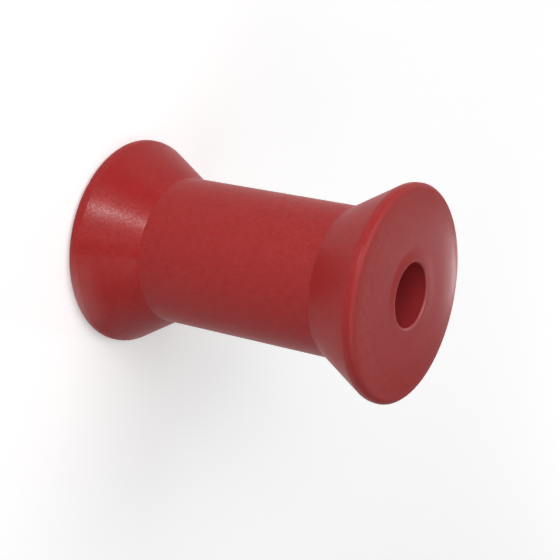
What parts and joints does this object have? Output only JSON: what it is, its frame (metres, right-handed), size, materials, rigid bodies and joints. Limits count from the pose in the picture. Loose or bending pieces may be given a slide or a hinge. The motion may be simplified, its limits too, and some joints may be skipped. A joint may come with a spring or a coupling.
{
  "type": "boat trailer roller",
  "caption": "Waisted keel roller moulded in one piece: a straight core between two conical flanges, with a through bore for a spindle.",
  "frame": {"origin": "on the bore's axis, at mid length of the roller", "axes": "+Z along the bore's axis, up out of the end that the roller doesn't stand on"},
  "size_m": [0.0748, 0.0748, 0.1172],
  "materials": {
    "red_rubber": "semi-gloss moulded red rubber with a faint cloudy mottle"
  },
  "bodies": {
    "root": {"roller": "red_rubber"}
  },
  "joints": []
}
